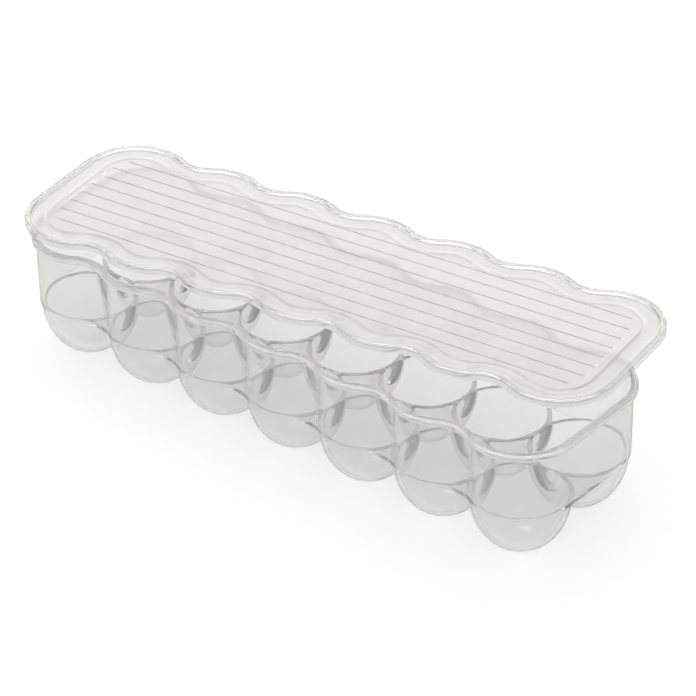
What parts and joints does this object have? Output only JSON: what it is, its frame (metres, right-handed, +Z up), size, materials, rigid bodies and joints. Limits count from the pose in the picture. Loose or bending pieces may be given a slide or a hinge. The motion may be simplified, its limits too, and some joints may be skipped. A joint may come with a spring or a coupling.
{
  "type": "egg keeper",
  "caption": "Long clear plastic tray of round-bottomed egg cups side by side, with a wavy outline and a loose ribbed lid that lifts off.",
  "frame": {"origin": "centre of the flat foot under the middle cup of the front row, on the surface the tray stands on", "axes": "+X along the rows of cups, +Y from the front row to the back row, +Z up"},
  "size_m": [0.3927, 0.1649, 0.0826],
  "materials": {
    "tray": "clear moulded styrene plastic, polished, very slightly grey",
    "lid": "clear moulded styrene plastic, polished, slightly milky"
  },
  "bodies": {
    "tray": {"cup_front_1": "tray", "cup_front_2": "tray", "cup_front_3": "tray", "cup_front_4": "tray", "cup_front_5": "tray", "cup_front_6": "tray", "cup_front_7": "tray", "cup_back_1": "tray", "cup_back_2": "tray", "cup_back_3": "tray", "cup_back_4": "tray", "cup_back_5": "tray", "cup_back_6": "tray", "cup_back_7": "tray", "deck": "tray", "wall_front": "tray", "wall_back": "tray", "wall_left": "tray", "wall_right": "tray", "rim_front": "tray", "rim_back": "tray", "rim_left": "tray", "rim_right": "tray"},
    "lid": {"lid_skirt": "lid", "lid_border": "lid", "lid_shelf": "lid", "lid_panel": "lid", "lid_ribs": "lid"}
  },
  "joints": [
    {"name": "lid_lift", "type": "slide", "parent": "tray", "child": "lid", "axis": [0, 0, 1], "range_m": [0, 0.08]}
  ]
}
